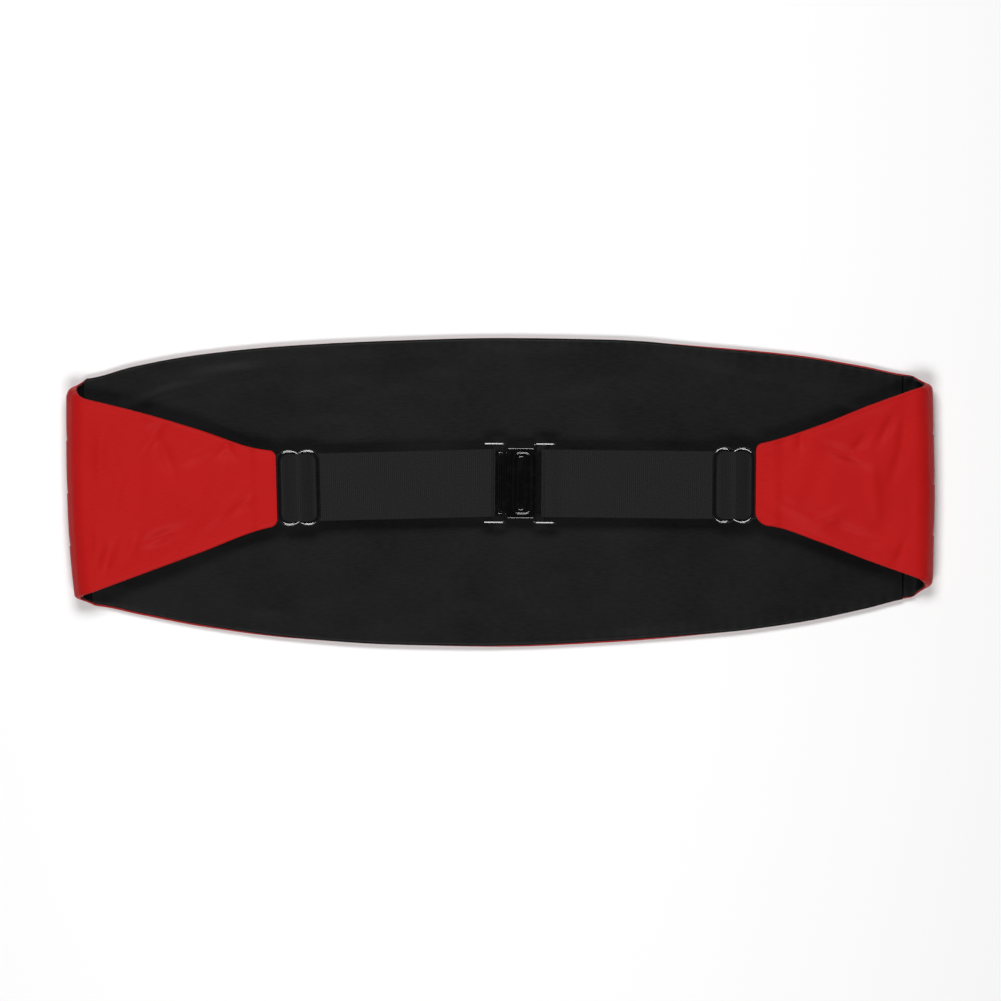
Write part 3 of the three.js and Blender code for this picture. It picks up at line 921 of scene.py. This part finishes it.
# Heights are from the middle of the elastic at the wing's end, and lengths run from there
slideLevel = belt["thick"] / 2 + belt["metalGap"] + slide["wire"]
claspLevel = -(belt["thick"] + sash["clothGap"]) / 2
outerBarX = belt["metalGap"] + slide["wire"]
middleBarX = outerBarX + slide["pitch"]
innerBarX = middleBarX + slide["pitch"]
bandWeave = {
    "step": 0.6,
    "cordPitch": 1.05,
    "cord": 0.055,
    "selvedge": 1.5,
    "selvedgeHigh": 0.07,
    "beat": 0.7,
    "beatShare": 0.25,
    "edgeRound": 0.35,
    "endRound": 0.4,
}


def halfTurn(x, z, radius, towards):
    spots = []
    for angle in spaced(math.pi / 2, -math.pi / 2, 14):
        spots.append(Vector((x + towards * radius * math.cos(angle), z + radius * math.sin(angle))))
    return spots


def easedRun(fromX, fromZ, toX, toZ):
    spots = []
    for t in spaced(0, 1, 12):
        eased = (1 - math.cos(math.pi * t)) / 2
        spots.append(Vector((fromX + (toX - fromX) * t, fromZ + (toZ - fromZ) * eased)))
    return spots


def beltPath(side):
    wrap = slide["wire"] + belt["metalGap"] + belt["thick"] / 2
    over = slideLevel + wrap + belt["thick"] + 2 * sash["clothGap"]
    back = -belt["thick"] - sash["clothGap"]
    around = clasp["beltBar"] + belt["metalGap"] + belt["thick"] / 2
    loopWidth = belt["width"] - 2 * (slide["notch"] + belt["metalGap"] - slide["sideRoom"])
    barX = side["beltLength"]
    run, bend = belt["levelRun"], belt["bendLength"]
    spots = [Vector((-belt["tail"], belt["tail"] * math.tan(side["slope"]))), Vector((outerBarX, 0))]
    spots += easedRun(outerBarX + run, 0, middleBarX, over)
    spots += easedRun(middleBarX, over, innerBarX - run, 0)[1:]
    spots += [Vector((innerBarX, 0))]
    spots += easedRun(barX - bend, 0, barX, claspLevel + around)[:-1]
    spots += halfTurn(barX, claspLevel, around, 1)
    spots += easedRun(barX, claspLevel - around, barX - bend, back)[1:]
    wide = [belt["width"]] * len(spots)
    narrowing = easedRun(innerBarX, back, middleBarX, slideLevel - wrap)[:-1]
    spots += narrowing
    wide += spaced(belt["width"], loopWidth, len(narrowing) - 1)
    wrapped = halfTurn(middleBarX, slideLevel, wrap, -1)[::-1]
    wrapped.append(Vector((middleBarX + belt["stitchedWrap"], slideLevel + wrap)))
    wide += [loopWidth] * len(wrapped)
    return spots + wrapped, wide


def evenPath(spots, wide, step):  # the same path with places at even steps, and the normal at each
    reach = [0]
    for a, b in zip(spots, spots[1:]):
        reach.append(reach[-1] + (b - a).length)
    count = round(reach[-1] / step)
    placed = []
    i = 0
    for along in spaced(0, reach[-1], count):
        while i < len(spots) - 2 and reach[i + 1] < along:
            i += 1
        t = (along - reach[i]) / (reach[i + 1] - reach[i])
        placed.append([along, spots[i].lerp(spots[i + 1], t), wide[i] + (wide[i + 1] - wide[i]) * t])
    for j, spot in enumerate(placed):
        way = (placed[min(j + 1, count)][1] - placed[max(j - 1, 0)][1]).normalized()
        spot.append(Vector((-way.y, way.x)))
    return placed, reach[-1]


def beltToSash(side, point):
    level = loopPoint(side, 3, side["beltY"], 0).z
    turned = Matrix.Rotation(side["beltAngle"], 2) @ Vector((point.x, point.y)) + side["beltStart"]
    return Vector((turned.x, turned.y, point.z + level))


def makeElastic(name, side):
    spots, wide = beltPath(side)
    placed, length = evenPath(spots, wide, bandWeave["step"])
    half = belt["width"] / 2
    cords = round(belt["width"] / bandWeave["cordPitch"])
    edgeRows = [0, 0.08, 0.25]
    inside = spaced(edgeRows[-1] / half, 1, cords * 2)
    across = [-1 + row / half for row in edgeRows[:-1]] + [-1 + share for share in inside]
    across += [-share for share in reversed(across[:-1])]
    slant = math.tan(clasp["turn"] - side["beltAngle"])
    barX, bend = side["beltLength"], belt["bendLength"]

    def place(spot, row, face):
        along, path, width, normal = spot
        toEdge = (1 - abs(row)) * half
        border = roundOver(toEdge, bandWeave["edgeRound"])
        cord = bandWeave["cord"] * math.cos(2 * math.pi * row * half / bandWeave["cordPitch"])
        if toEdge < bandWeave["selvedge"]:
            cord = bandWeave["selvedgeHigh"] * math.cos(math.pi * toEdge / bandWeave["selvedge"])
        beat = 1 + bandWeave["beatShare"] * math.sin(2 * math.pi * along / bandWeave["beat"])
        ends = roundOver(min(along, length - along), bandWeave["endRound"])
        lift = face * (belt["thick"] / 2 - bandWeave["cord"] + cord * beat) * border * ends
        edge = path + normal * lift
        y = row * width / 2
        x = edge.x - y * slant * smoothStep(edge.x, barX - 2 * bend, barX - bend / 2)
        return beltToSash(side, Vector((x, y, edge.y))), Vector((along, row * half))

    outer = gridSheet(placed, across, lambda spot, row: place(spot, row, 1))
    inner = gridSheet(placed, across, lambda spot, row: place(spot, row, -1))
    band = zipped(name, outer, inner)
    return band


finishPiece(makeElastic("leftElasticBand", left), elasticMaterial, "elastic", "left_elastic")
finishPiece(makeElastic("rightElasticBand", right), elasticMaterial, "elastic", "right_elastic")


def settle(piece, side=None):  # puts a piece made in its own frame into the sash, with its place in its mesh
    if side is None:
        turn = Matrix.Rotation(clasp["turn"], 4, "Z")
        level = loopPoint(right, 3, right["beltY"], 0).z + claspLevel
        spot = Vector((clasp["place"].x, clasp["place"].y, level))
    else:
        turn = Matrix.Rotation(side["beltAngle"], 4, "Z")
        spot = beltToSash(side, Vector((middleBarX, 0, slideLevel)))
    piece.data.transform(Matrix.Translation(spot * mm) @ turn)
    deselectAll()
    return piece


def joined(name, parts):
    deselectAll()
    for part in parts:
        part.select_set(True)
    bpy.context.view_layer.objects.active = parts[0]
    bpy.ops.object.join()
    parts[0].name = name
    return parts[0]


def wireRing(center, direction):  # a wire's section, selected in edit mode, ready to be drawn out
    deselectAll()
    angle = Vector((0, 0, 1)).rotation_difference(direction).to_euler()
    bpy.ops.mesh.primitive_circle_add(
        vertices=20, radius=slide["wire"] * mm, fill_type="NOTHING", location=center * mm, rotation=angle
    )
    bpy.ops.object.transform_apply(location=True, rotation=True, scale=True)
    bpy.ops.object.mode_set(mode="EDIT")
    bpy.ops.mesh.select_mode(type="VERT")
    bpy.ops.mesh.select_all(action="SELECT")


def bendWire(center, degrees, steps):
    bpy.ops.mesh.spin(
        steps=steps, dupli=False, angle=math.radians(degrees), center=center * mm, axis=(0, 0, 1)
    )


def runWire(way):
    bpy.ops.mesh.extrude_region_move(TRANSFORM_OT_translate={"value": way * mm})


def slideLobe(hand):
    half = belt["width"] / 2 + slide["sideRoom"] + slide["wire"]
    corner, pitch = slide["corner"], slide["pitch"]
    peak = pitch - corner
    lean = 2 * math.atan(slide["notch"] / peak)
    crest = peak / math.sin(lean)
    start = Vector((0, half - slide["notch"], 0))
    wireRing(start, Vector((hand * math.cos(lean), math.sin(lean), 0)))
    bendWire(Vector((hand * peak, half - crest, 0)), hand * math.degrees(lean), 8)
    bendWire(Vector((hand * peak, half - corner, 0)), hand * 90, 12)
    runWire(Vector((0, -2 * (half - corner), 0)))
    bendWire(Vector((hand * peak, corner - half, 0)), hand * 90, 12)
    bendWire(Vector((hand * peak, crest - half, 0)), hand * math.degrees(lean), 8)
    bpy.ops.mesh.select_all(action="DESELECT")
    bpy.ops.mesh.select_non_manifold(extend=False)
    bpy.ops.mesh.edge_face_add()
    bpy.ops.mesh.select_all(action="SELECT")
    bpy.ops.mesh.remove_doubles(threshold=1e-6)
    bpy.ops.mesh.normals_make_consistent(inside=False)
    bpy.ops.object.mode_set(mode="OBJECT")
    return bpy.context.object


def middleBar():
    reach = belt["width"] / 2 + slide["sideRoom"] + slide["wire"] - slide["notch"]
    bpy.ops.mesh.primitive_cylinder_add(
        vertices=24, radius=slide["wire"] * mm, depth=2 * reach * mm, rotation=(math.pi / 2, 0, 0)
    )
    bar = bpy.context.object
    bpy.ops.object.transform_apply(location=True, rotation=True, scale=True)
    softenEdges(bar, 0.3, 4)
    return bar


sharpAngle = math.radians(35)


def softenEdges(piece, width, segments=3):
    bpy.context.view_layer.objects.active = piece
    bevel = piece.modifiers.new("soften", "BEVEL")
    bevel.width = width * mm
    bevel.segments = segments
    bevel.limit_method = "ANGLE"
    bevel.angle_limit = sharpAngle
    bpy.ops.object.modifier_apply(modifier=bevel.name)
    return piece


def makeSlide(name, side):
    wires = joined(name, [slideLobe(-1), slideLobe(1), middleBar()])
    bpy.ops.object.shade_smooth_by_angle(angle=sharpAngle)
    return settle(wires, side)


finishPiece(makeSlide("leftSlideWire", left), metalMaterial, "black_metal", "left_slide")
finishPiece(makeSlide("rightSlideWire", right), metalMaterial, "black_metal", "right_slide")


def metalBlock(low, high, soft, corner=0):
    deselectAll()
    middle = (Vector(low) + Vector(high)) / 2
    size = Vector(high) - Vector(low)
    bpy.ops.mesh.primitive_cube_add(size=1, location=middle * mm, scale=size * mm)
    block = bpy.context.object
    bpy.ops.object.transform_apply(location=True, rotation=True, scale=True)
    if corner:
        bpy.ops.object.mode_set(mode="EDIT")
        bpy.ops.mesh.select_mode(type="EDGE")
        bpy.ops.mesh.select_all(action="DESELECT")
        bpy.ops.object.mode_set(mode="OBJECT")
        for edge in block.data.edges:
            a, b = (block.data.vertices[i].co for i in edge.vertices)
            edge.select = abs(a.x - b.x) + abs(a.y - b.y) < 1e-7
        bpy.ops.object.mode_set(mode="EDIT")
        bpy.ops.mesh.bevel(offset=corner * mm, segments=6, affect="EDGES")
        bpy.ops.object.mode_set(mode="OBJECT")
    if soft:
        softenEdges(block, soft)
    return block


def railsAndBar(hand, barX):
    near, far = sorted((hand * halfPlate, hand * (halfPlate + clasp["railLength"])))
    inner, depth = clasp["railSpan"] / 2, clasp["railDepth"] / 2
    outer = inner + clasp["railThick"]
    parts = [
        metalBlock((near, inner, -depth), (far, outer, depth), clasp["railSoft"]),
        metalBlock((near, -outer, -depth), (far, -inner, depth), clasp["railSoft"]),
    ]
    bpy.ops.mesh.primitive_cylinder_add(
        vertices=28, radius=clasp["beltBar"] * mm, depth=(clasp["railSpan"] + clasp["railThick"]) * mm,
        location=(barX * mm, 0, 0), rotation=(math.pi / 2, 0, 0),
    )
    bpy.ops.object.transform_apply(location=True, rotation=True, scale=True)
    parts.append(softenEdges(bpy.context.object, clasp["barSoft"]))
    return parts


def makeClaspEye():
    reach = clasp["railSpan"] / 2 + clasp["railThick"] / 2
    level, soft = clasp["sheet"] / 2, clasp["sheetSoft"]
    catch = metalBlock((-halfPlate - clasp["catchBar"], -reach, -level), (-halfPlate, reach, level), soft)
    eye = joined("claspEyeMetal", railsAndBar(-1, eyeBarX) + [catch])
    bpy.ops.object.shade_smooth_by_angle(angle=math.radians(40))
    return settle(eye)


def recessedPlate(low, high):
    plate = metalBlock(low, high, 0, clasp["plateCorner"])
    cutterLow = (low[0] + clasp["rimLeft"], low[1] + clasp["rimEnds"], high[2] - clasp["relief"])
    cutterHigh = (high[0] - clasp["rimRight"], high[1] - clasp["rimEnds"], high[2] + 1)
    cutter = metalBlock(cutterLow, cutterHigh, 0, clasp["recessCorner"])
    deselectAll()
    plate.select_set(True)
    bpy.context.view_layer.objects.active = plate
    cut = plate.modifiers.new("recess", "BOOLEAN")
    cut.operation = "DIFFERENCE"
    cut.object = cutter
    bpy.ops.object.modifier_apply(modifier=cut.name)
    plate.select_set(False)
    cutter.select_set(True)
    bpy.ops.object.delete()
    return softenEdges(plate, clasp["plateSoft"], 4)


def makeClaspHook():
    low, top = -clasp["sheet"] / 2, clasp["sheet"] / 2
    base = clasp["sheet"] - clasp["relief"]
    gap = belt["metalGap"]
    plateLeft = gap - halfPlate
    middle = (plateLeft + clasp["rimLeft"] + halfPlate - clasp["rimRight"]) / 2 - clasp["ribShift"]
    legLow = low - gap - base
    lipRight = -halfPlate - clasp["catchBar"] - gap
    tall, hook = clasp["plateHeight"] / 2, clasp["hookHeight"] / 2
    ribEnd = tall - clasp["rimEnds"] - clasp["ribEndRoom"]
    reach = clasp["railSpan"] / 2 + clasp["railThick"] / 2
    rib, web = clasp["rib"] / 2, clasp["web"] / 2
    lipStart = (lipRight - clasp["lip"], -hook, legLow)
    ribLow, ribHigh = (middle - rib, -ribEnd, low + 0.2), (middle + rib, ribEnd, top - clasp["ribDrop"])
    parts = [
        recessedPlate((plateLeft, -tall, low), (halfPlate, tall, top)),
        metalBlock(ribLow, ribHigh, clasp["sheetSoft"], clasp["ribCorner"]),
        metalBlock((plateLeft, -hook, legLow), (plateLeft + base, hook, low + base), clasp["hookSoft"]),
        metalBlock(lipStart, (plateLeft + base, hook, legLow + base), clasp["hookSoft"]),
        metalBlock(lipStart, (lipRight, hook, top), clasp["sheetSoft"]),
        metalBlock((halfPlate - web, -reach, low), (halfPlate + web, reach, top), clasp["sheetSoft"]),
    ]
    hookHalf = joined("claspHookMetal", parts + railsAndBar(1, hookBarX))
    bpy.ops.object.shade_smooth_by_angle(angle=math.radians(40))
    return settle(hookHalf)


finishPiece(makeClaspEye(), metalMaterial, "black_metal", "clasp_eye")
finishPiece(makeClaspHook(), metalMaterial, "black_metal", "clasp_hook")


# Floor, light and camera, in metres
stageLook = {
    "floor": 0.88,
    "floorLevel": -0.0003,
    "world": 0.06,
    "horizon": 0.72,  # height at which the bright world starts to fade
    "zenith": 0.97,
    "zenithLight": 0.06,
    "key": 8.3,
    "distance": 2.0,
    "framed": 0.4204,  # width that the picture takes in
    "cameraY": -0.00336,
    "sensor": 36,
    "softboxes": [
        ("upperSoftbox", (-0.07, 0.54, 0.95), (0.6, 0.3), 1.05),
        ("lowerSoftbox", (-0.07, -0.54, 0.95), (0.6, 0.3), 0.92),
    ],
}

bpy.ops.mesh.primitive_plane_add(size=6, location=(0, 0, stageLook["floorLevel"]))
floor = bpy.context.object
floor.name = "paleFloor"
floorMaterial, _, floorShader = newMaterial("paleFloor")
pale = (stageLook["floor"],) * 3 + (1,)
setSockets(floorShader, {"Base Color": pale, "Roughness": 0.9, "Specular IOR Level": 0.1})
floor.data.materials.append(floorMaterial)

world = bpy.data.worlds.new("studio")
bpy.context.scene.world = world
world.use_nodes = True
sky = world.node_tree.nodes["Background"]
sky.inputs["Strength"].default_value = stageLook["world"]
heading = addNode(world.node_tree, "ShaderNodeTexCoord")
heights = addNode(world.node_tree, "ShaderNodeSeparateXYZ")
world.node_tree.links.new(heading.outputs["Generated"], heights.inputs[0])
fadeStops = (stageLook["horizon"], (1,) * 3), (stageLook["zenith"], (stageLook["zenithLight"],) * 3)
fade = addRamp(world.node_tree, heights.outputs["Z"], *fadeStops)
world.node_tree.links.new(fade, sky.inputs["Color"])

for name, spot, size, share in stageLook["softboxes"]:
    bpy.ops.object.light_add(type="AREA", location=spot)
    lamp = bpy.context.object
    lamp.name = name
    lamp.data.shape = "RECTANGLE"
    lamp.data.size, lamp.data.size_y = size
    lamp.data.energy = stageLook["key"] * share
    lamp.rotation_mode = "QUATERNION"
    lamp.rotation_quaternion = (Vector((0, 0, 0)) - Vector(spot)).to_track_quat("-Z", "Y")  # at the sash

bpy.ops.object.camera_add(location=(0, stageLook["cameraY"], stageLook["distance"] + cadHigh.z / 2))
camera = bpy.context.object
camera.name = "camera"
camera.rotation_euler = (0, 0, 0)  # straight down
camera.data.sensor_width = stageLook["sensor"]
camera.data.lens = stageLook["sensor"] * stageLook["distance"] / stageLook["framed"]
camera.data.clip_end = 20
bpy.context.scene.camera = camera
bpy.context.scene.view_settings.view_transform = "Standard"
print("floor, lights and camera ready")
